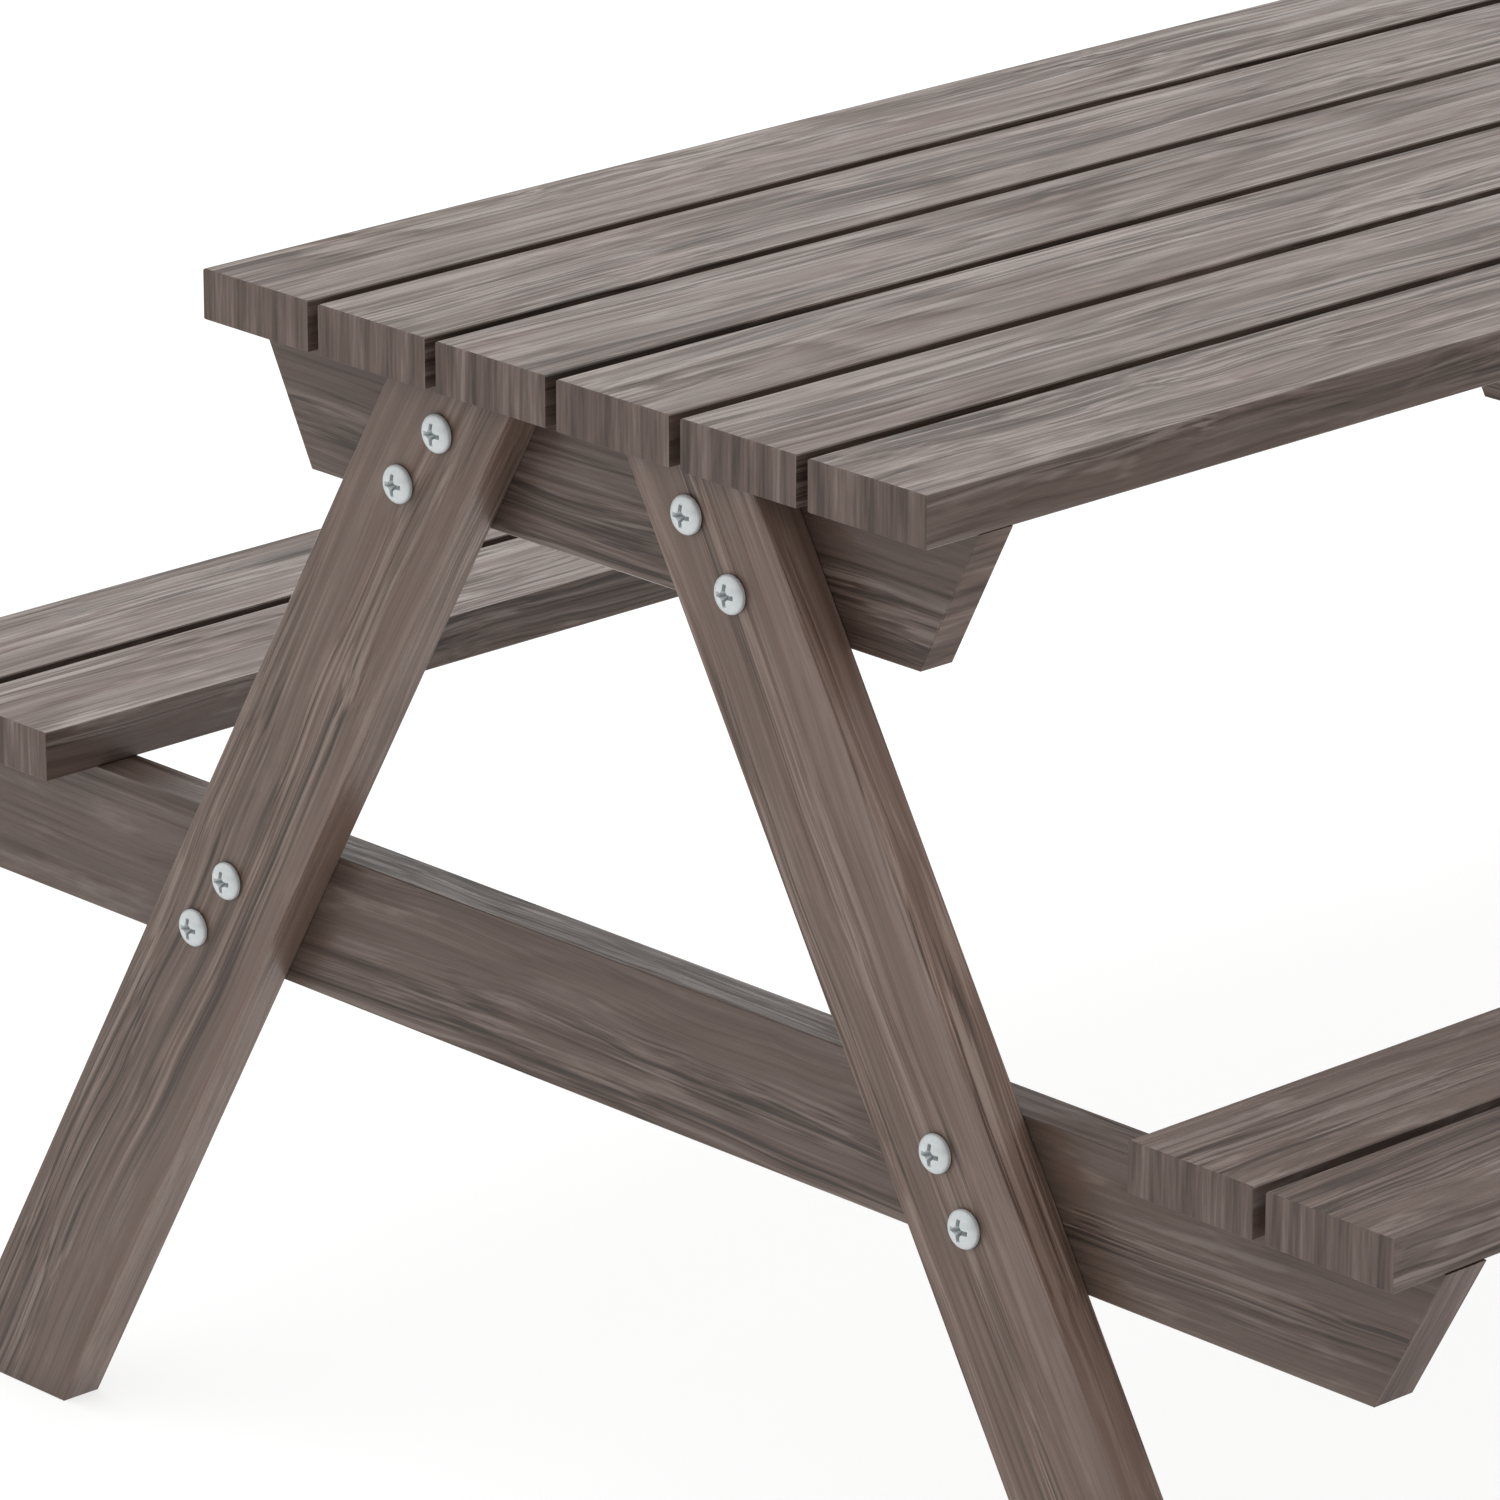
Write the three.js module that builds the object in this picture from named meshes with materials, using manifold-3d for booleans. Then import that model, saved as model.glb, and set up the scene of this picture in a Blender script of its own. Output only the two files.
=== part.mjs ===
// Picnic table with two fixed benches, six top boards and an A-shaped frame at each end.
//
// Millimetres, +Z up. The origin is on the ground under the middle of the table, +X runs along
// the boards and +Y across them. The near end is at -X, the far end at +X; left is +Y, right is -Y.
// Every board, leg, bearer and screw is a solid and a mesh of its own.

import * as THREE from 'three';
import { mergeVertices } from 'three/addons/utils/BufferGeometryUtils.js';
import Module from 'manifold-3d';

const wasm = await Module();
wasm.setup();

// ---------------------------------------------------------------- driving dimensions

const tableHeight = 750;        // ground to tabletop
const seatHeight = 433.5;       // ground to seat
const tableLength = 1478;       // along the boards

const boardWidth = 90;
const boardThickness = 30;
const boardGap = 9;             // drainage gap between neighbouring boards
const topBoardCount = 6;
const seatBoardCount = 2;       // on each bench
const seatInnerEdge = 445.5;    // middle of the table to a bench's inner edge

const legWidth = 88;
const legThickness = 28;
const legAngle = THREE.MathUtils.degToRad(30);   // lean of a leg from upright
const legInnerTop = 44.5;       // middle of the table to a leg's inner edge, under the top
const legInset = 11.5;          // board ends to a leg's outer face

const topBearerDepth = 87;
const topBearerThickness = 25;
const topBearerCutBack = 45;    // how much shorter the bottom edge is at each end

const seatBearerDepth = 89;
const seatBearerThickness = 30.5;
const seatBearerCutBack = 49;
const seatBearerProud = 1;      // past the bench's outer edge

const arris = 0.75;             // chamfer along the edges of all the timber

const jointScrewDiameter = 8;
const jointScrewLength = 49;    // under the head
const jointHeadDiameter = 22.4;
const jointHeadRim = 1.5;       // straight side of the pan head
const jointHeadHeight = 7;
const recessSpan = 15;          // tip to tip of the cross recess
const recessWidth = 2.9;
const recessDepth = 4.8;

// Two joint screws hold a leg to each bearer, this far below the bearer's upper edge.
const topScrewDrops = [27.5, 64.5];
const seatScrewDrops = [24.5, 61.5];

// How far each of them stands outwards of the leg's middle line, from the top down. The holes are
// drilled by hand, so the two legs of a frame differ by a few millimetres.
const leftLegScrewOffsets = [-6, 6, 2, 11.5];
const rightLegScrewOffsets = [-13.5, -0.5, 0, 1];

const boardScrewDiameter = 5;
const boardScrewLength = 60;
const boardScrewBite = 20;      // how far it reaches into a board
const boardHeadDiameter = 10;
const boardHeadTopDiameter = 6;
const boardHeadHeight = 3;
const counterboreDiameter = 11.5;

// Board screws along a bearer, out from the middle: clear of the leg screws and the cut-back ends.
const topBoardScrews = [49.5, 165, 232];
const seatBoardScrews = [490.5, 566];

const pointLength = 6;          // taper at a screw's tip
const holeClearance = 0.3;      // on a screw's radius and at its tip
const cutterMargin = 5;         // how far a cutter runs out past the face it starts from
const weldDistance = 1e-4;      // corners closer than this are one
const headSegments = 16;
const holeSegments = 12;

// ---------------------------------------------------------------- worked-out dimensions

const boardPitch = boardWidth + boardGap;
const boardEnd = tableLength / 2;
const topUnderside = tableHeight - boardThickness;
const seatUnderside = seatHeight - boardThickness;
const topHalfWidth = (topBoardCount * boardPitch - boardGap) / 2;
const seatOuterEdge = seatInnerEdge + seatBoardCount * boardPitch - boardGap;
const legLevelWidth = legWidth / Math.cos(legAngle);     // of a leg's level cuts
const legOuterFace = boardEnd - legInset;
const legInnerFace = legOuterFace - legThickness;

// ---------------------------------------------------------------- materials

const timber = new THREE.MeshStandardMaterial({ color: 0x6e625b, roughness: 0.75, metalness: 0 });
const plated = new THREE.MeshStandardMaterial({ color: 0xc6cccb, roughness: 0.4, metalness: 0.6 });

// ---------------------------------------------------------------- solids

/** Closed manifold solid of a three.js geometry. */
function solidOf(geometry) {
  const bare = geometry.clone();
  bare.deleteAttribute('normal');
  bare.deleteAttribute('uv');
  const merged = mergeVertices(bare, weldDistance);
  return new wasm.Manifold(new wasm.Mesh({
    numProp: 3,
    vertProperties: new Float32Array(merged.attributes.position.array),
    triVerts: new Uint32Array(merged.index.array),
  }));
}

/** three.js geometry of a manifold solid, with flat shading. */
function geometryOf(solid) {
  const { vertProperties, triVerts } = solid.getMesh();
  const shared = new THREE.BufferGeometry();
  shared.setAttribute('position', new THREE.BufferAttribute(vertProperties, 3));
  shared.setIndex(new THREE.BufferAttribute(triVerts, 1));
  const flat = shared.toNonIndexed();
  flat.computeVertexNormals();
  return flat;
}

/** The geometry turned so that its +Z points along direction, and moved to position. */
function aimed(geometry, position, direction) {
  const turn = new THREE.Quaternion().setFromUnitVectors(new THREE.Vector3(0, 0, 1), direction);
  const place = new THREE.Matrix4().compose(position, turn, new THREE.Vector3(1, 1, 1));
  return geometry.clone().applyMatrix4(place);
}

/** Solid of revolution about +Z from [radius, height] points that start and end on the axis. */
function turnedGeometry(profile, segments) {
  const points = profile.map(([radius, height]) => new THREE.Vector2(radius, height));
  return new THREE.LatheGeometry(points, segments).rotateX(Math.PI / 2);
}

/** A piece of timber: an outline sawn from a plank, with a small chamfer round both faces. */
function plankGeometry(corners, thickness) {
  const outline = new THREE.Shape(corners.map(([x, y]) => new THREE.Vector2(x, y)));
  const plank = new THREE.ExtrudeGeometry(outline, {
    depth: thickness - 2 * arris,
    bevelThickness: arris,
    bevelSize: arris,
    bevelOffset: -arris,
    bevelSegments: 1,
  });
  return plank.translate(0, 0, arris);
}

/** Stands a plank drawn in [across, up] on edge, so that its thickness runs along X. */
function onEdge(plank) {
  const axes = new THREE.Matrix4().makeBasis(
    new THREE.Vector3(0, 1, 0),
    new THREE.Vector3(0, 0, 1),
    new THREE.Vector3(1, 0, 0),
  );
  return plank.applyMatrix4(axes);
}

/** Swaps left and right in an outline, keeping its corners in anticlockwise order. */
function mirrored(corners) {
  return corners.map(([x, y]) => [-x, y]).reverse();
}

// ---------------------------------------------------------------- screws

/** Pan-head joint screw with its seat at z = 0, its crown up and its point down. */
function jointScrewGeometry() {
  const shank = jointScrewDiameter / 2;
  const profile = [
    [0, -jointScrewLength],
    [shank, pointLength - jointScrewLength],
    [shank, 0],
    [jointHeadDiameter / 2, 0],
  ];
  const crownSteps = 5;
  for (let step = 0; step < crownSteps; step += 1) {
    const angle = (step / crownSteps) * (Math.PI / 2);
    const rise = (jointHeadHeight - jointHeadRim) * Math.sin(angle);
    profile.push([(jointHeadDiameter / 2) * Math.cos(angle), jointHeadRim + rise]);
  }
  profile.push([0, jointHeadHeight]);
  const blank = solidOf(turnedGeometry(profile, headSegments));
  return geometryOf(blank.subtract(crossRecess()));
}

/** The cross cut into a pan head, narrower at its floor than at its mouth. */
function crossRecess() {
  const flare = 1.5;   // size at the crown over size at the floor
  const wing = new THREE.BoxGeometry(recessSpan / flare, recessWidth / flare, 2 * recessDepth);
  const corners = wing.attributes.position;
  for (let i = 0; i < corners.count; i += 1) {
    const spread = corners.getZ(i) > 0 ? 2 * flare - 1 : 1;
    corners.setXY(i, corners.getX(i) * spread, corners.getY(i) * spread);
  }
  wing.translate(0, 0, jointHeadHeight);
  const across = solidOf(wing);
  const along = solidOf(wing.clone().rotateZ(Math.PI / 2));
  return across.add(along);
}

/** Board screw with a low tapered head, its seat at z = 0 and its point down. */
function boardScrewGeometry() {
  const shank = boardScrewDiameter / 2;
  const head = boardHeadDiameter / 2;
  const profile = [
    [0, -boardScrewLength],
    [shank, pointLength - boardScrewLength],
    [shank, 0],
    [head, 0],
    [head, boardHeadHeight / 2],
    [boardHeadTopDiameter / 2, boardHeadHeight],
    [0, boardHeadHeight],
  ];
  return turnedGeometry(profile, holeSegments);
}

/** Hole for a screw's shank, from a little above its seat to just past its point. */
function shankHole(diameter, length) {
  const radius = diameter / 2 + holeClearance;
  const profile = [
    [0, -length - holeClearance],
    [radius, -length - holeClearance],
    [radius, cutterMargin],
    [0, cutterMargin],
  ];
  return turnedGeometry(profile, holeSegments);
}

/** Board screw's hole: the shank hole and a counterbore that runs out past the bearer's edge. */
function boardScrewHole(counterbore) {
  const radius = boardScrewDiameter / 2 + holeClearance;
  const wide = counterboreDiameter / 2;
  const profile = [
    [0, -boardScrewLength - holeClearance],
    [radius, -boardScrewLength - holeClearance],
    [radius, 0],
    [wide, 0],
    [wide, counterbore + cutterMargin],
    [0, counterbore + cutterMargin],
  ];
  return turnedGeometry(profile, holeSegments);
}

/** One screw in its place, with the cutter that makes room for it. */
function screw(name, body, hole, position, direction) {
  return {
    name,
    geometry: aimed(body, position, direction),
    cutter: solidOf(aimed(hole, position, direction)),
  };
}

/** A leg's middle line at height z, out from the middle of the table. */
function legMiddle(z) {
  return legInnerTop + legLevelWidth / 2 + (topUnderside - z) * Math.tan(legAngle);
}

/** The eight joint screws of one end. facing is -1 at the near end and +1 at the far end. */
function jointScrews(end, facing) {
  const body = jointScrewGeometry();
  const hole = shankHole(jointScrewDiameter, jointScrewLength);
  const outward = new THREE.Vector3(facing, 0, 0);
  const legs = [
    { side: facing < 0 ? 'left' : 'right', sign: -facing, offsets: leftLegScrewOffsets },
    { side: facing < 0 ? 'right' : 'left', sign: facing, offsets: rightLegScrewOffsets },
  ];
  const places = ['top_upper', 'top_lower', 'seat_upper', 'seat_lower'];
  const heights = [
    ...topScrewDrops.map((drop) => topUnderside - drop),
    ...seatScrewDrops.map((drop) => seatUnderside - drop),
  ];
  return legs.flatMap(({ side, sign, offsets }) => heights.map((z, i) => {
    const y = sign * (legMiddle(z) + offsets[i]);
    const position = new THREE.Vector3(facing * legOuterFace, y, z);
    return screw(`joint_screw_${end}_${side}_${places[i]}`, body, hole, position, outward);
  }));
}

/** The screws that come up through a bearer into the boards it carries. */
function boardScrews(label, offsets, x, boardUnderside, bearerDepth) {
  const seat = boardUnderside + boardScrewBite - boardScrewLength;
  const counterbore = seat - (boardUnderside - bearerDepth);
  const body = boardScrewGeometry();
  const hole = boardScrewHole(counterbore);
  const down = new THREE.Vector3(0, 0, -1);
  const places = [...offsets.map((y) => -y).reverse(), ...offsets];
  return places.map((y, i) => {
    const position = new THREE.Vector3(x, y, seat);
    return screw(`board_screw_${label}_${i + 1}`, body, hole, position, down);
  });
}

// ---------------------------------------------------------------- timber

/** One long board, lying flat with its middle at y and its underside at z. */
function board(name, y, z) {
  const corners = [
    [-boardEnd, -boardWidth / 2],
    [boardEnd, -boardWidth / 2],
    [boardEnd, boardWidth / 2],
    [-boardEnd, boardWidth / 2],
  ];
  return { name, geometry: plankGeometry(corners, boardThickness).translate(0, y, z) };
}

/** Tabletop boards, numbered from right to left. */
function topBoards() {
  const boards = [];
  for (let i = 0; i < topBoardCount; i += 1) {
    const y = (i - (topBoardCount - 1) / 2) * boardPitch;
    boards.push(board(`top_board_${i + 1}`, y, topUnderside));
  }
  return boards;
}

/** Boards of one bench, the inner one first. */
function seatBoards(side, sign) {
  return ['inner', 'outer'].map((place, i) => {
    const y = sign * (seatInnerEdge + boardWidth / 2 + i * boardPitch);
    return board(`seat_board_${side}_${place}`, y, seatUnderside);
  });
}

/** A leaning leg, cut level under the top boards and on the ground. x is its lower X face. */
function leg(name, sign, x) {
  const spread = topUnderside * Math.tan(legAngle);
  const corners = [
    [legInnerTop + spread, 0],
    [legInnerTop + spread + legLevelWidth, 0],
    [legInnerTop + legLevelWidth, topUnderside],
    [legInnerTop, topUnderside],
  ];
  const outline = sign > 0 ? corners : mirrored(corners);
  return { name, geometry: onEdge(plankGeometry(outline, legThickness)).translate(x, 0, 0) };
}

/** A bearer on edge, its top edge at height z and its ends cut back towards the bottom. */
function bearer(name, size, x, z) {
  const corners = [
    [size.cutBack - size.halfLength, z - size.depth],
    [size.halfLength - size.cutBack, z - size.depth],
    [size.halfLength, z],
    [-size.halfLength, z],
  ];
  return { name, geometry: onEdge(plankGeometry(corners, size.thickness)).translate(x, 0, 0) };
}

/** Two legs and two bearers of one end, with their screws. */
function endFrame(end, facing) {
  const topSize = {
    halfLength: topHalfWidth,
    depth: topBearerDepth,
    thickness: topBearerThickness,
    cutBack: topBearerCutBack,
  };
  const seatSize = {
    halfLength: seatOuterEdge + seatBearerProud,
    depth: seatBearerDepth,
    thickness: seatBearerThickness,
    cutBack: seatBearerCutBack,
  };
  // Lower X face of a piece whose outer face is at the given distance from the middle.
  const lowerFace = (outerFace, thickness) => (facing < 0 ? -outerFace : outerFace - thickness);
  const bearerMiddle = (thickness) => facing * (legInnerFace - thickness / 2);
  return {
    timber: [
      leg(`leg_${end}_left`, 1, lowerFace(legOuterFace, legThickness)),
      leg(`leg_${end}_right`, -1, lowerFace(legOuterFace, legThickness)),
      bearer(`top_bearer_${end}`, topSize, lowerFace(legInnerFace, topSize.thickness), topUnderside),
      bearer(`seat_bearer_${end}`, seatSize, lowerFace(legInnerFace, seatSize.thickness), seatUnderside),
    ],
    screws: [
      ...jointScrews(end, facing),
      ...boardScrews(`${end}_top`, topBoardScrews, bearerMiddle(topSize.thickness),
        topUnderside, topSize.depth),
      ...boardScrews(`${end}_seat`, seatBoardScrews, bearerMiddle(seatSize.thickness),
        seatUnderside, seatSize.depth),
    ],
  };
}

// ---------------------------------------------------------------- assembly

/** The timber with room cut for every screw that reaches into it. */
function drilled(piece, screws) {
  const cut = screws.reduce((rest, { cutter }) => rest.subtract(cutter), solidOf(piece.geometry));
  return { name: piece.name, geometry: geometryOf(cut) };
}

function addPieces(group, pieces, material) {
  for (const { name, geometry } of pieces) {
    const mesh = new THREE.Mesh(geometry, material.clone());
    mesh.name = name;
    group.add(mesh);
  }
}

function picnicTable() {
  const frames = [endFrame('near', -1), endFrame('far', 1)];
  const screws = frames.flatMap((frame) => frame.screws);
  const planks = [
    ...topBoards(),
    ...seatBoards('left', 1),
    ...seatBoards('right', -1),
    ...frames.flatMap((frame) => frame.timber),
  ];
  const table = new THREE.Group();
  addPieces(table, planks.map((piece) => drilled(piece, screws)), timber);
  addPieces(table, screws, plated);
  return table;
}

export default picnicTable();
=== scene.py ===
"""Looks of the picnic table: stained timber and zinc-plated screws, in a white studio.

Everything is in metres in the frame of the CAD model: +X along the boards, +Y across them, +Z up,
with the ground at z = 0. The CAD timber is shown as it is, with a grain that follows each piece;
the joint screws are built here, because their cross recess and round crown need a finer mesh.
"""

import math
import random

import bmesh
import bpy
from mathutils import Matrix, Vector


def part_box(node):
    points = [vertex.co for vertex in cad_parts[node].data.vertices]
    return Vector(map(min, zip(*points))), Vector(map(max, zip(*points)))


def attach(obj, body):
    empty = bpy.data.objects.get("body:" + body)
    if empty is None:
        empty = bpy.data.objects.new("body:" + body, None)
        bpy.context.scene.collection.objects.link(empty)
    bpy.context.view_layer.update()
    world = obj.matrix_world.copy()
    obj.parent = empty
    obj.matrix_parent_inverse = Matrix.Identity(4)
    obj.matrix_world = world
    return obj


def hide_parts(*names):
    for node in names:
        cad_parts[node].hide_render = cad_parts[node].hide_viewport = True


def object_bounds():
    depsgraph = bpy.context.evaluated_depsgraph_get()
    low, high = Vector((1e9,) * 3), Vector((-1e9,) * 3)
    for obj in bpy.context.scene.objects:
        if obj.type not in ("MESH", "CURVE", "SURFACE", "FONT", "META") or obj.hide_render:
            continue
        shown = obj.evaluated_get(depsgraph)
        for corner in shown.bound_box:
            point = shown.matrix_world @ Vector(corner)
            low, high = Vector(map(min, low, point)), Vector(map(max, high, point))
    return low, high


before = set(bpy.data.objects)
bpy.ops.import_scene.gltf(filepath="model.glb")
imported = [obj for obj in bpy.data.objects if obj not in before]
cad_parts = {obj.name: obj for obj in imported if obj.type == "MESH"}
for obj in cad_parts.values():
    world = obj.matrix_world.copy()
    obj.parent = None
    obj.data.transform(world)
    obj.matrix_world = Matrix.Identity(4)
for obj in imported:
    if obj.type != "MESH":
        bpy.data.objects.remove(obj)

CAD_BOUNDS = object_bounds()

X = Vector((1, 0, 0))
Y = Vector((0, 1, 0))
Z = Vector((0, 0, 1))
MM = 0.001
QUARTERS = ((-1, -1), (1, -1), (1, 1), (-1, 1))   # signs of the corners of a square, in turn
WHITE = (1.0, 1.0, 1.0, 1.0)

LEG_LEAN = math.radians(30)       # of a leg from upright

# The camera looks at a point in the plane of the near end, from the table's right.
VIEW_AZIMUTH = math.radians(-43.28)
VIEW_ELEVATION = math.radians(19.16)
VIEW_DISTANCE = 4.957
AIM_ACROSS = -0.158
AIM_HEIGHT = 0.576
LENS_MM = 221.4
SENSOR_MM = 36.0

# Light of the room: its level, and how it rises along each axis.
ROOM_LIGHT = 0.65
ROOM_LEAN = (0.18, 0.46, 0.50)
ROOM_SIZE = 120.0
FLOOR_REACH = 30.0
FLOOR_GREY = 0.38                 # share of the light on it that the floor gives back
FLOOR_GLOW = 0.74                 # light that it gives by itself

# Timber colours, linear.
DARK = (0.052, 0.036, 0.029)
BROWN = (0.103, 0.070, 0.056)
FAWN = (0.143, 0.099, 0.083)
PALE = (0.232, 0.183, 0.162)
WARM_TINT = (1.025, 0.99, 0.965)
COOL_TINT = (0.985, 1.0, 0.99)

# How pale the broad faces, edges, edges that look up and ends of each kind of timber are, how much
# the stain of its sides leans to red, how strong its flames are, and whether the streaks of its
# ends run down its width (1) or through its thickness (0). These paleness values are painted light
# and shade: each side is made paler or darker for the light that falls on it, edges that look up
# apart from other edges, the left seat boards paler and the right ones darker, and the bearers
# darker for the shade under the tabletop.
LOOKS = {
    "top_board": dict(
        face=0.93, edge=0.79, upper=0.79, end=0.95, warmth=0.04, flames=1.0, end_turn=0.0,
    ),
    "seat_board_left": dict(
        face=1.12, edge=0.77, upper=0.77, end=0.89, warmth=-0.03, flames=1.0, end_turn=0.0,
    ),
    "seat_board_right": dict(
        face=0.92, edge=0.85, upper=0.85, end=0.86, warmth=-0.03, flames=1.0, end_turn=0.0,
    ),
    "leg": dict(
        face=0.86, edge=1.04, upper=1.26, end=0.90, warmth=0.09, flames=0.3, end_turn=0.0,
    ),
    "top_bearer": dict(
        face=0.62, edge=0.80, upper=0.80, end=1.22, warmth=0.07, flames=0.4, end_turn=0.0,
    ),
    "seat_bearer": dict(
        face=0.67, edge=0.66, upper=0.55, end=0.97, warmth=0.08, flames=0.7, end_turn=1.0,
    ),
}
OWN_TONE = (0.96, 1.04)           # each piece is paler or darker than its kind within these

# Growth of the timber.
RING_SPACING = 8.5 * MM
RING_WAVER = 26 * MM              # how unround the rings are
RING_FRAY = 7 * MM                # how far streaks run over from ring to ring
TRUNK_TAPER = 0.05                # gain in the trunk's radius along its length
GRAIN_BEND = 26 * MM
GRAIN_CURL = 13 * MM
OUTER_PITH = 35 * MM              # farthest that the heart of the tree lies to a piece's side
PITH_DEPTH = (55 * MM, 85 * MM)   # how far it lies behind the piece
FAR_START = 40.0                  # farthest that a piece's own start in the noise is
FAR_APART = (7.3, 2.1, 5.9)       # between two noises that have to be unlike

# Noises of the grain: cells per metre along it and across it, octaves and roughness.
SLOW_BENDS = dict(along=2.6, across=9.0)
CURLS = dict(along=8.0, across=20.0)
CURLED_ZONES = dict(along=3.0, across=9.0, detail=1.0)
UNROUNDNESS = dict(along=3.5, across=8.0)
FLAMED_ZONES = dict(along=4.0, across=14.0, detail=1.0)
BUSY_ZONES = dict(along=1.6, across=26.0, detail=1.0)
BANDS = dict(along=1.0, across=34.0, detail=2.0, roughness=0.55)
STREAKS = dict(along=2.2, across=180.0, detail=2.5, roughness=0.6)
FIBRES = dict(along=7.0, across=650.0, detail=3.5, roughness=0.6)
VEINS = dict(along=1.3, across=80.0, detail=1.5)
DARK_LINES = dict(along=1.5, across=380.0, detail=1.5)
PALE_LINES = dict(along=4.0, across=330.0, detail=1.5)
WISPS = dict(along=11.0, across=62.0, detail=3.0, roughness=0.65)
TINTS = dict(along=1.4, across=130.0, detail=3.0)
END_BANDS = dict(along=3.0, across=95.0, detail=2.0, roughness=0.6)
END_STREAKS = dict(along=3.0, across=420.0, detail=2.0, roughness=0.6)

# Paleness of plain wood, on the scale of the stain's colours.
SIDE_PALENESS = 0.60
END_PALENESS = 0.46
END_DRAW = 0.06                   # how far the streaks of an end are drawn out, as a scale
END_WARMTH = -0.07                # ends have greyed more than sides

# Gloss and relief of the timber.
TIMBER_IOR = 1.42
STAIN_ROUGHNESS = 0.39
WORN_ROUGHNESS = 0.24             # of the smoothest streaks
SAWN_ROUGHNESS = 0.68
GRAIN_RELIEF = 0.4 * MM

# Painted shade: the timber's base colour is darkened by ambient occlusion close to other surfaces.
CORNER_REACH = 25 * MM
CORNER_SHADE = 0.75               # tone left in the closest corners

# Zinc plating, linear: its clouds go from the first colour to the second.
PLATING = ((0.54, 0.575, 0.58), (0.62, 0.65, 0.65))
# Painted shade: a darker copy of the plating for the bars of the cross recess, where shade falls.
RECESS_PAINTED_SHADE = ((0.44, 0.48, 0.50), (0.54, 0.57, 0.58))
ZINC_CLOUDS = dict(along=260.0, across=260.0, detail=3.0, roughness=0.6)
ZINC_GRAIN = dict(along=2600.0, across=2600.0)
ZINC_METALLIC = 0.35
ZINC_ROUGHNESS = 0.46
ZINC_RELIEF = 0.1 * MM

# Joint screw, seat at z = 0 and crown up.
HEAD_RADIUS = 11.2 * MM
HEAD_HEIGHT = 7.0 * MM
HEAD_RIM = 2.2 * MM               # height at which the crown starts
HEAD_UNDERCUT = 1.5 * MM          # radius of the edge under the rim
SHANK_RADIUS = 4.0 * MM
SHANK_SHOWN = 2.0 * MM            # the rest of the shank is in the timber
RECESS_SPAN = 15.0 * MM
RECESS_WIDTH = 2.9 * MM
RECESS_DEPTH = 4.8 * MM
RECESS_FLOOR = (0.42, 0.55)       # its length and width at the floor, of those at the crown
HUB_RADIUS = 3.5 * MM
HUB_FLOOR_RADIUS = 1.225 * MM
HUB_POINT = 0.6 * MM              # depth of the hub's point under the recess floor
WING_ABOVE = 1.2 * MM             # how far the cutters reach out of the crown
HUB_ABOVE = 0.5 * MM
HEAD_SIDES = 64
HUB_SIDES = 16
SHARP_ANGLE = math.radians(28)

# Least cosine at which a surface counts as looking some way.
FACING = 0.7
FACING_UP = 0.4


# ------------------------------------------------------------------ node graphs

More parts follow.
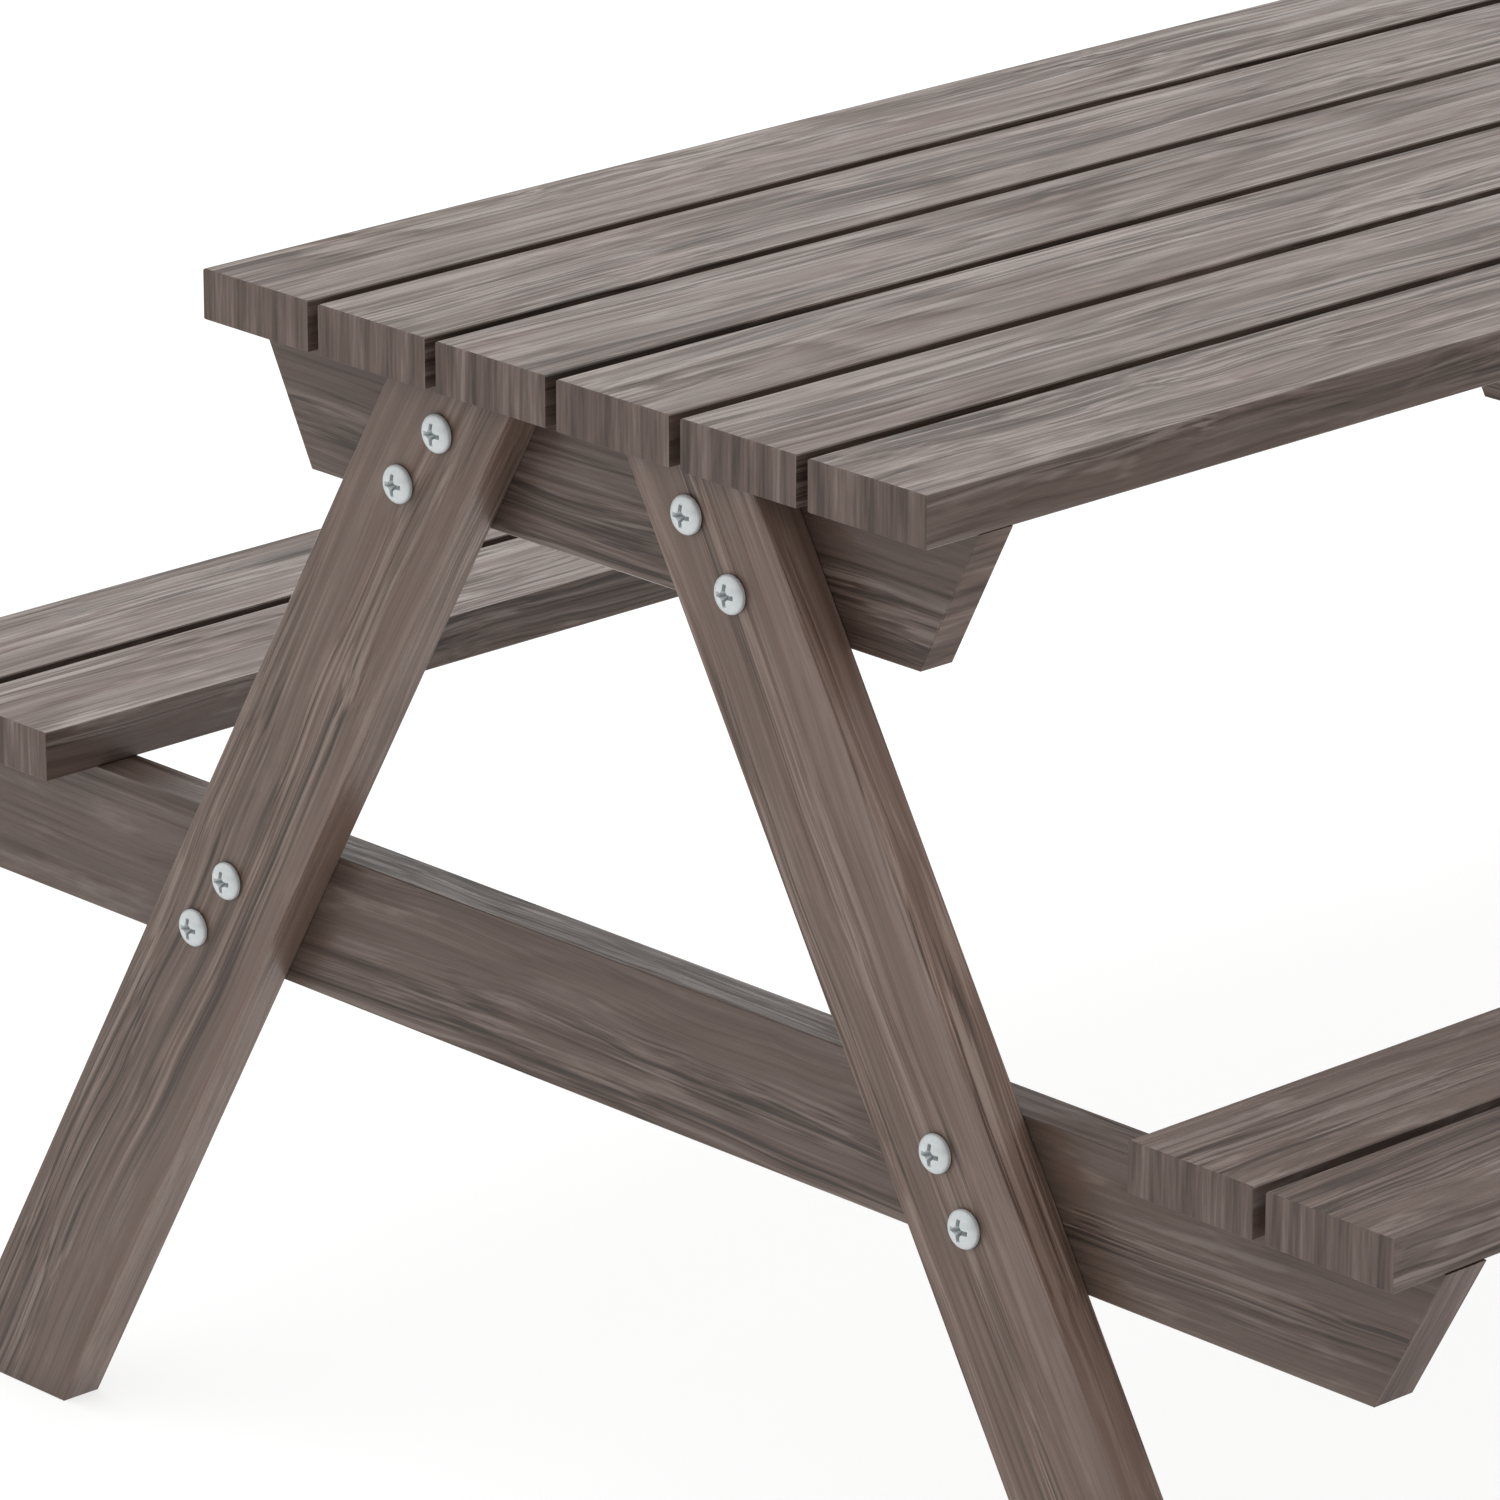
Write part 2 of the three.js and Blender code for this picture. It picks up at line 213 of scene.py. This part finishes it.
class Graph:
    """Short calls for building a shader node tree."""

    MIX_SOCKETS = {"FLOAT": (2, 3, 0), "VECTOR": (4, 5, 1), "RGBA": (6, 7, 2)}

    def __init__(self, tree):
        self.tree = tree

    def node(self, kind, **settings):
        made = self.tree.nodes.new(kind)
        for key, value in settings.items():
            setattr(made, key, value)
        return made

    def put(self, socket, value):
        """Links a socket to the input, or sets the input's own value."""
        if isinstance(value, bpy.types.NodeSocket):
            self.tree.links.new(value, socket)
        elif value is not None:
            socket.default_value = value

    def math(self, operation, first, second=None):
        made = self.node("ShaderNodeMath", operation=operation)
        self.put(made.inputs[0], first)
        self.put(made.inputs[1], second)
        return made.outputs[0]

    def total(self, *values):
        result = values[0]
        for value in values[1:]:
            result = self.math("ADD", result, value)
        return result

    def product(self, *values):
        result = values[0]
        for value in values[1:]:
            result = self.math("MULTIPLY", result, value)
        return result

    def about(self, value, amount):
        """A noise value turned into a plus or minus amount about zero."""
        return self.product(self.math("SUBTRACT", value, 0.5), amount)

    def vector(self, operation, first, second=None):
        made = self.node("ShaderNodeVectorMath", operation=operation)
        self.put(made.inputs[0], first)
        self.put(made.inputs[1], second)
        return made.outputs["Value" if operation in ("DOT_PRODUCT", "LENGTH") else "Vector"]

    def split(self, vector):
        made = self.node("ShaderNodeSeparateXYZ")
        self.put(made.inputs[0], vector)
        return tuple(made.outputs)

    def combine(self, x, y, z):
        made = self.node("ShaderNodeCombineXYZ")
        for socket, value in zip(made.inputs, (x, y, z)):
            self.put(socket, value)
        return made.outputs[0]

    def faces(self, normal, direction):
        """1 where the surface looks along the direction or against it, 0 elsewhere."""
        facing = self.math("ABSOLUTE", self.vector("DOT_PRODUCT", normal, tuple(direction)))
        return self.math("GREATER_THAN", facing, FACING)

    def noise(self, vector, along, across, detail=2.0, roughness=0.5):
        """Noise with its own number of cells per metre along the grain and across it."""
        made = self.node("ShaderNodeTexNoise")
        self.put(made.inputs["Vector"], self.vector("MULTIPLY", vector, (along, across, across)))
        self.put(made.inputs["Scale"], 1.0)
        self.put(made.inputs["Detail"], detail)
        self.put(made.inputs["Roughness"], roughness)
        return made.outputs["Fac"]

    def step(self, value, low, high, start=0.0, end=1.0):
        """Smooth step from start to end as the value goes from low to high."""
        made = self.node("ShaderNodeMapRange", interpolation_type="SMOOTHSTEP")
        for key, number in (("Value", value), ("From Min", low), ("From Max", high),
                            ("To Min", start), ("To Max", end)):
            self.put(made.inputs[key], number)
        return made.outputs[0]

    def ramp(self, value, stops):
        """Colour that goes through the (position, colour) stops as the value rises."""
        made = self.node("ShaderNodeValToRGB")
        band = made.color_ramp
        while len(band.elements) < len(stops):
            band.elements.new(0.5)
        for element, (position, color) in zip(band.elements, stops):
            element.position = position
            element.color = (*color, 1.0)
        self.put(made.inputs[0], value)
        return made.outputs[0]

    def mix(self, kind, factor, first, second, blend="MIX"):
        """Mixes two values, vectors or colours: kind is FLOAT, VECTOR or RGBA."""
        made = self.node("ShaderNodeMix", data_type=kind, blend_type=blend)
        from_first, from_second, result = self.MIX_SOCKETS[kind]
        self.put(made.inputs[0], factor)
        self.put(made.inputs[from_first], first)
        self.put(made.inputs[from_second], second)
        return made.outputs[result]

    def bump(self, height, strength, distance):
        made = self.node("ShaderNodeBump")
        self.put(made.inputs["Strength"], strength)
        self.put(made.inputs["Distance"], distance)
        self.put(made.inputs["Height"], height)
        return made.outputs[0]

    def corners(self, reach, darkest):
        """Painted shade from ambient occlusion: 1 in the open, going down to the darkest close to
        other surfaces.
        """
        made = self.node("ShaderNodeAmbientOcclusion", samples=16)
        self.put(made.inputs["Distance"], reach)
        return self.step(made.outputs["AO"], 0.3, 1.0, darkest, 1.0)

    def surface(self, looks):
        """Ends the tree in a shader with the given inputs."""
        shader = self.node("ShaderNodeBsdfPrincipled")
        for name, value in looks.items():
            self.put(shader.inputs[name], value)
        self.put(self.node("ShaderNodeOutputMaterial").inputs["Surface"], shader.outputs[0])


def new_material(name):
    material = bpy.data.materials.new(name)
    material.use_nodes = True
    material.node_tree.nodes.clear()
    return material, Graph(material.node_tree)


# ------------------------------------------------------------------ meshes and objects

def mesh_from(name, build, material):
    bm = bmesh.new()
    build(bm)
    mesh = bpy.data.meshes.new(name)
    bm.to_mesh(mesh)
    bm.free()
    mesh.materials.append(material)
    return mesh


def placed(name, data):
    """A new object in the scene."""
    made = bpy.data.objects.new(name, data)
    bpy.context.collection.objects.link(made)
    return made


def nodes_named(start):
    """CAD nodes whose names start so, in a fixed order."""
    return sorted(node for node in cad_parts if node.startswith(start))


def middle(node):
    low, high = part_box(node)
    return (low + high) / 2


def dress(node, material):
    """Shows a CAD node in the given material."""
    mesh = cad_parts[node].data
    mesh.materials.clear()
    mesh.materials.append(material)


# ------------------------------------------------------------------ timber

def declare(tree, way, kind, *names):
    """Gives a node group its inputs or outputs."""
    for name in names:
        tree.interface.new_socket(name, in_out=way, socket_type=kind)


def grain_bend(g, place, elsewhere, flames):
    """How far the grain has wandered: slow bends, and curls where there are flames."""
    curled = g.step(g.noise(place, **CURLED_ZONES), 0.46, 0.62, 0.0, GRAIN_CURL)
    curl = g.product(curled, flames, g.about(g.noise(place, **CURLS), 1.0))
    return g.combine(
        0.0,
        g.total(g.about(g.noise(place, **SLOW_BENDS), GRAIN_BEND), curl),
        g.total(g.about(g.noise(elsewhere, **SLOW_BENDS), GRAIN_BEND), curl),
    )


def late_wood(g, given, place, bend, streaks):
    """Dark part of the growth rings about the pith, drawn out into flames by the trunk's taper."""
    from_pith = g.vector("SUBTRACT", g.vector("ADD", given["Local"], bend), given["Pith"])
    radius = g.total(
        g.vector("LENGTH", g.vector("MULTIPLY", from_pith, (0.0, 1.0, 1.0))),
        g.product(g.split(place)[0], TRUNK_TAPER),
        g.about(g.noise(place, **UNROUNDNESS), RING_WAVER),
        g.about(streaks, RING_FRAY),
    )
    ring = g.math("FRACT", g.math("DIVIDE", radius, RING_SPACING))
    growth = g.product(g.step(ring, 0.10, 0.75), g.step(ring, 0.75, 1.0, 1.0, 0.0))
    shown = g.step(g.noise(place, **FLAMED_ZONES), 0.36, 0.60)
    return g.product(growth, shown, given["Flames"])


def end_value(g, place, turn):
    """Paleness of a sawn end, in streaks through its thickness, or down its width at turn 1."""
    x, y, z = g.split(place)
    through = g.combine(x, y, g.product(z, END_DRAW))
    down = g.combine(x, g.product(y, END_DRAW), z)
    drawn = g.mix("VECTOR", turn, through, down)
    return g.total(
        END_PALENESS,
        g.about(g.noise(drawn, **END_BANDS), 1.5),
        g.about(g.noise(drawn, **END_STREAKS), 0.9),
    )


def stained_color(g, value, tint_noise, tone, warmth):
    """Colour of timber from its paleness, in slightly warmer and cooler streaks."""
    stain = g.ramp(value, [(0.08, DARK), (0.38, BROWN), (0.60, FAWN), (0.95, PALE)])
    tint = g.ramp(tint_noise, [(0.36, COOL_TINT), (0.64, WARM_TINT)])
    lean = g.product(tone, warmth, 0.5)
    shade = g.combine(g.math("ADD", tone, lean), tone, g.math("SUBTRACT", tone, lean))
    tinted = g.mix("RGBA", 1.0, stain, tint, "MULTIPLY")
    return g.mix("RGBA", 1.0, tinted, shade, "MULTIPLY")


def grain_group():
    """Node group of stained timber whose grain runs along the local X axis.

    Local is the place in the piece, Shift a far-off start that makes each piece its own and Pith
    the heart of the tree as seen from the piece's middle. Tone is a brightness that carries the
    painted light and shade of each side and corner, Warmth a lean of the stain from blue to red
    and
    Flames the strength of the ring figure. End cut is 1 on sawn ends, whose streaks run through
    the thickness, or down the width where End turn is 1.
    """
    tree = bpy.data.node_groups.new("stained_timber", "ShaderNodeTree")
    declare(tree, "INPUT", "NodeSocketVector", "Local", "Shift", "Pith")
    declare(tree, "INPUT", "NodeSocketFloat", "Tone", "Warmth", "Flames", "End cut", "End turn")
    declare(tree, "OUTPUT", "NodeSocketColor", "Color")
    declare(tree, "OUTPUT", "NodeSocketFloat", "Roughness", "Height")
    g = Graph(tree)
    given = g.node("NodeGroupInput").outputs
    result = g.node("NodeGroupOutput").inputs

    place = g.vector("ADD", given["Local"], given["Shift"])
    elsewhere = g.vector("ADD", place, FAR_APART)
    bend = grain_bend(g, place, elsewhere, given["Flames"])
    along = g.vector("ADD", place, bend)
    elsewhere_along = g.vector("ADD", elsewhere, bend)

    # Streaks along the grain, from broad bands to single fibres; plain wood between busy wood.
    busy = g.step(g.noise(along, **BUSY_ZONES), 0.40, 0.60, 0.30, 1.50)
    bands = g.noise(along, **BANDS)
    streaks = g.noise(along, **STREAKS)
    fibres = g.noise(along, **FIBRES)
    veins = g.step(g.noise(elsewhere_along, **VEINS), 0.56, 0.66)
    dark_lines = g.step(g.noise(elsewhere_along, **DARK_LINES), 0.56, 0.64)
    pale_lines = g.step(g.noise(elsewhere_along, **PALE_LINES), 0.56, 0.69)
    wisps = g.step(g.noise(elsewhere_along, **WISPS), 0.53, 0.73)
    late = late_wood(g, given, place, bend, streaks)

    lines = g.total(
        g.about(streaks, 1.15),
        g.about(fibres, 0.85),
        g.product(veins, -0.16),
        g.product(dark_lines, -0.32),
        g.product(pale_lines, 0.26),
    )
    long_value = g.total(
        SIDE_PALENESS,
        g.about(bands, 0.50),
        g.product(lines, busy),
        g.product(late, -0.20),
        g.product(wisps, given["Flames"], 0.44),
    )
    value = g.mix("FLOAT", given["End cut"], long_value, end_value(g, place, given["End turn"]))
    tint_noise = g.noise(along, **TINTS)
    g.put(result["Color"], stained_color(g, value, tint_noise, given["Tone"], given["Warmth"]))

    # Pale streaks are worn smooth, dark ones are open pores, and sawn ends are rough.
    polish = g.total(
        STAIN_ROUGHNESS,
        g.about(streaks, -0.65),
        g.about(fibres, -0.45),
        g.product(pale_lines, -0.14),
        g.product(late, 0.10),
    )
    satin = g.math("MAXIMUM", polish, WORN_ROUGHNESS)
    g.put(result["Roughness"], g.mix("FLOAT", given["End cut"], satin, SAWN_ROUGHNESS))
    g.put(result["Height"], g.total(
        g.product(fibres, 0.6),
        g.product(streaks, 0.4),
        g.product(late, -0.3),
    ))
    return tree


def place_in_piece(g, place, centre, grain, across):
    """The place as seen from the piece: X along its grain, Y along its width."""
    turn = Matrix((grain, across, grain.cross(across))).transposed().to_euler()
    local = g.node("ShaderNodeMapping", vector_type="TEXTURE")
    g.put(local.inputs["Vector"], place)
    g.put(local.inputs["Location"], tuple(centre))
    g.put(local.inputs["Rotation"], tuple(turn))
    return local.outputs[0]


def timber_tone_with_painted_light(g, normal, end_cut, across, look, own):
    """Brightness of each side of a piece, with painted light and shade: each side is made paler or
    darker for the light that falls on it, and darker in its corners where shade falls.
    """
    looks_up = g.math("GREATER_THAN", g.vector("DOT_PRODUCT", normal, tuple(Z)), FACING_UP)
    edge_tone = g.mix("FLOAT", looks_up, own * look["edge"], own * look["upper"])
    side_tone = g.mix("FLOAT", g.faces(normal, across), own * look["face"], edge_tone)
    tone = g.mix("FLOAT", end_cut, side_tone, own * look["end"])
    # painted shade: the tone is darkened in corners by ambient occlusion
    return g.product(tone, g.corners(CORNER_REACH, CORNER_SHADE))


def timber_material(name, group, centre, directions, look):
    """Timber with its grain along the first direction and its width along the second."""
    material, g = new_material(name)
    grain, across = directions
    chance = random.Random(name)
    own = chance.uniform(*OWN_TONE)
    coordinates = g.node("ShaderNodeTexCoord").outputs
    end_cut = g.faces(coordinates["Normal"], grain)

    timber = g.node("ShaderNodeGroup", node_tree=group)
    given = {
        "Local": place_in_piece(g, coordinates["Object"], centre, grain, across),
        "Shift": tuple(chance.uniform(-FAR_START, FAR_START) for _ in range(3)),
        "Pith": (0.0, chance.uniform(-OUTER_PITH, OUTER_PITH), -chance.uniform(*PITH_DEPTH)),
        "Tone": timber_tone_with_painted_light(g, coordinates["Normal"], end_cut, across, look, own),
        "Warmth": g.mix("FLOAT", end_cut, look["warmth"], END_WARMTH),
        "Flames": look["flames"],
        "End cut": end_cut,
        "End turn": look["end_turn"],
    }
    for socket, value in given.items():
        g.put(timber.inputs[socket], value)
    g.surface({
        "Base Color": timber.outputs["Color"],
        "Roughness": timber.outputs["Roughness"],
        "Normal": g.bump(timber.outputs["Height"], strength=0.6, distance=GRAIN_RELIEF),
        "IOR": TIMBER_IOR,
    })
    return material


def timber_directions(node):
    """The way the grain runs in a piece of timber, and the way its width lies."""
    if "board" in node:
        return X, Y
    if "bearer" in node:
        return Y, Z
    side = 1 if node.endswith("left") else -1
    down = Vector((0, side * math.sin(LEG_LEAN), -math.cos(LEG_LEAN)))
    return down, X.cross(down)


def dress_timber():
    group = grain_group()
    for kind, look in LOOKS.items():
        for node in nodes_named(kind):
            dress(node, timber_material(node, group, middle(node), timber_directions(node), look))


# ------------------------------------------------------------------ screws

def zinc_material(name, cloudy, clear):
    """Satin zinc plating that goes from one colour to the other in soft clouds."""
    material, g = new_material(name)
    place = g.node("ShaderNodeTexCoord").outputs["Object"]
    cloud = g.noise(place, **ZINC_CLOUDS)
    grain = g.noise(place, **ZINC_GRAIN)
    g.surface({
        "Base Color": g.ramp(cloud, [(0.30, cloudy), (0.70, clear)]),
        "Metallic": ZINC_METALLIC,
        "Roughness": g.total(ZINC_ROUGHNESS, g.about(cloud, 0.2), g.about(grain, 0.08)),
        "Normal": g.bump(grain, strength=0.12, distance=ZINC_RELIEF),
    })
    return material


def spun(bm, profile, segments):
    """Closed solid of revolution about Z from (radius, height) points that end on the axis."""
    rings = []
    for radius, height in profile:
        count = segments if radius > 0 else 1
        ring = []
        for i in range(count):
            angle = 2 * math.pi * i / segments
            point = (radius * math.cos(angle), radius * math.sin(angle), height)
            ring.append(bm.verts.new(point))
        rings.append(ring)
    for low, high in zip(rings, rings[1:]):
        for i in range(segments):
            j = (i + 1) % segments
            around = [(low, i), (low, j), (high, j), (high, i)]
            corners = [ring[k % len(ring)] for ring, k in around]
            bm.faces.new(list(dict.fromkeys(corners)))


def recess_wing(bm, turn):
    """Cutter for one bar of the cross recess, which narrows towards its floor."""
    growth = WING_ABOVE / RECESS_DEPTH
    mouth = [1 + growth * (1 - scale) for scale in RECESS_FLOOR]
    levels = [(HEAD_HEIGHT - RECESS_DEPTH, *RECESS_FLOOR), (HEAD_HEIGHT + WING_ABOVE, *mouth)]
    corners = []
    for height, long_scale, wide_scale in levels:
        for sx, sy in QUARTERS:
            long_way = sx * RECESS_SPAN / 2 * long_scale
            wide_way = sy * RECESS_WIDTH / 2 * wide_scale
            point = Matrix.Rotation(turn, 3, "Z") @ Vector((long_way, wide_way, height))
            corners.append(bm.verts.new(point))
    sides = [(0, 3, 2, 1), (4, 5, 6, 7)]
    sides += [(i, (i + 1) % 4, (i + 1) % 4 + 4, i + 4) for i in range(4)]
    for side in sides:
        bm.faces.new([corners[i] for i in side])


def recess_hub(bm):
    """Cutter for the round middle of the cross recess, with a pointed floor."""
    floor = HEAD_HEIGHT - RECESS_DEPTH
    mouth = HEAD_HEIGHT + HUB_ABOVE
    profile = [(0, floor - HUB_POINT), (HUB_FLOOR_RADIUS, floor), (HUB_RADIUS, mouth), (0, mouth)]
    spun(bm, profile, HUB_SIDES)


def screw_blank(bm):
    """Start of the shank and a pan head with a rounded rim and an oval crown."""
    undercut_steps = 4
    crown_steps = 14
    profile = [(0, -SHANK_SHOWN), (SHANK_RADIUS, -SHANK_SHOWN), (SHANK_RADIUS, 0)]
    for i in range(undercut_steps):
        angle = math.pi / 2 * i / undercut_steps
        inset = HEAD_UNDERCUT * (1 - math.sin(angle))
        profile.append((HEAD_RADIUS - inset, HEAD_UNDERCUT * (1 - math.cos(angle))))
    for i in range(crown_steps):
        angle = math.pi / 2 * i / crown_steps
        rise = (HEAD_HEIGHT - HEAD_RIM) * math.sin(angle)
        profile.append((HEAD_RADIUS * math.cos(angle), HEAD_RIM + rise))
    profile.append((0, HEAD_HEIGHT))
    spun(bm, profile, HEAD_SIDES)


def cut_by(mesh, cutters):
    """The mesh with each cutter mesh taken out of it; cut faces keep the cutter's material."""
    body = placed("screw_blank", mesh)
    tools = [placed("recess_cutter", cutter) for cutter in cutters]
    for tool in tools:
        step = body.modifiers.new("recess", "BOOLEAN")
        step.operation = "DIFFERENCE"
        step.solver = "EXACT"
        step.material_mode = "TRANSFER"
        step.object = tool
    bpy.context.view_layer.update()
    cut_body = body.evaluated_get(bpy.context.evaluated_depsgraph_get())
    shaped = bpy.data.meshes.new_from_object(cut_body)
    for made in [body, *tools]:
        bpy.data.objects.remove(made)
    return shaped


def joint_screw_mesh(plating, shade):
    """A pan head with a cross recess, whose bars are in a darker copy of the plating: painted
    shade.
    """
    cutters = [mesh_from("hub", recess_hub, plating)]
    for turn in (0, math.pi / 2):
        cutters.append(mesh_from("wing", lambda bm: recess_wing(bm, turn), shade))
    mesh = cut_by(mesh_from("blank", screw_blank, plating), cutters)
    mesh.name = "joint_screw_head"
    mesh.shade_smooth()
    mesh.set_sharp_from_angle(angle=SHARP_ANGLE)
    return mesh


def seat_of(node):
    """Where a joint screw's head meets the leg, and the way its crown looks."""
    near = "near" in node
    low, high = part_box("leg_near_left" if near else "leg_far_left")
    centre = middle(node)
    return Vector((low.x if near else high.x, centre.y, centre.z)), -X if near else X


def add_joint_screws(mesh):
    """A finely made head in the place of every CAD joint screw."""
    for node in nodes_named("joint_screw"):
        seat, outward = seat_of(node)
        screw = placed(node.replace("joint_screw", "pan_head"), mesh)
        screw.rotation_mode = "QUATERNION"
        screw.rotation_quaternion = Z.rotation_difference(outward)
        screw.location = seat
        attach(screw, "root")
        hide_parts(node)


def dress_screws():
    plating = zinc_material("zinc_plating", *PLATING)
    # painted shade: the recess bars get a darker copy of the plating
    shade = zinc_material("zinc_painted_recess_shade", *RECESS_PAINTED_SHADE)
    for node in nodes_named("board_screw"):
        dress(node, plating)
    add_joint_screws(joint_screw_mesh(plating, shade))


# ------------------------------------------------------------------ studio

def lit_material(name, base, glow):
    """Matt grey surface that is also lit from within, in white."""
    material, g = new_material(name)
    g.surface({
        "Base Color": (base, base, base, 1.0),
        "Roughness": 1.0,
        "Specular IOR Level": 0.0,
        "Emission Color": WHITE,
        "Emission Strength": glow,
    })
    return material


def floor_square(bm):
    bm.faces.new([bm.verts.new((sx * FLOOR_REACH, sy * FLOOR_REACH, 0)) for sx, sy in QUARTERS])


def add_floor():
    """Pale floor that carries only a faint shadow, because most of its light is its own."""
    material = lit_material("floor", FLOOR_GREY, FLOOR_GLOW)
    placed("floor", mesh_from("floor", floor_square, material))


def add_walls():
    """White walls that only the camera sees, so that the background is even and lights nothing."""
    material = lit_material("walls", 0.0, 1.0)
    material.cycles.emission_sampling = "NONE"
    mesh = mesh_from("walls", lambda bm: bmesh.ops.create_cube(bm, size=ROOM_SIZE), material)
    walls = placed("walls", mesh)
    walls.visible_diffuse = False
    walls.visible_glossy = False
    walls.visible_transmission = False
    walls.visible_shadow = False


def add_world():
    """Light of a white room, brightest overhead and to the table's left."""
    world = bpy.data.worlds.new("studio")
    world.use_nodes = True
    world.node_tree.nodes.clear()
    g = Graph(world.node_tree)
    direction = g.node("ShaderNodeTexCoord").outputs["Generated"]
    lean = g.vector("DOT_PRODUCT", direction, ROOM_LEAN)
    shade = g.node("ShaderNodeBackground")
    g.put(shade.inputs["Color"], WHITE)
    g.put(shade.inputs["Strength"], g.math("ADD", lean, ROOM_LIGHT))
    g.put(g.node("ShaderNodeOutputWorld").inputs["Surface"], shade.outputs[0])
    bpy.context.scene.world = world


def add_softbox(name, place, aim, size, watts):
    light = bpy.data.lights.new(name, "AREA")
    light.shape = "SQUARE"
    light.size = size
    light.energy = watts
    lamp = placed(name, light)
    lamp.location = place
    lamp.rotation_euler = (Vector(aim) - Vector(place)).to_track_quat("-Z", "Y").to_euler()


def add_camera():
    near_end = CAD_BOUNDS[0][0]
    aim = Vector((near_end, AIM_ACROSS, AIM_HEIGHT))
    level = math.cos(VIEW_ELEVATION)
    back = Vector((
        math.sin(VIEW_AZIMUTH) * level,
        -math.cos(VIEW_AZIMUTH) * level,
        math.sin(VIEW_ELEVATION),
    ))
    lens = bpy.data.cameras.new("camera")
    lens.sensor_width = SENSOR_MM
    lens.lens = LENS_MM
    camera = placed("camera", lens)
    camera.location = aim + back * VIEW_DISTANCE
    camera.rotation_euler = (-back).to_track_quat("-Z", "Y").to_euler()
    bpy.context.scene.camera = camera


def add_studio():
    table_middle = (0.0, 0.0, 0.4)
    add_floor()
    add_walls()
    add_world()
    add_softbox("key", place=(-3.6, 0.6, 2.2), aim=table_middle, size=3.0, watts=10.0)
    add_softbox("top", place=(0.0, 0.0, 4.5), aim=table_middle, size=4.0, watts=20.0)
    add_camera()
    bpy.context.scene.view_settings.view_transform = "Standard"


add_studio()
dress_timber()
dress_screws()
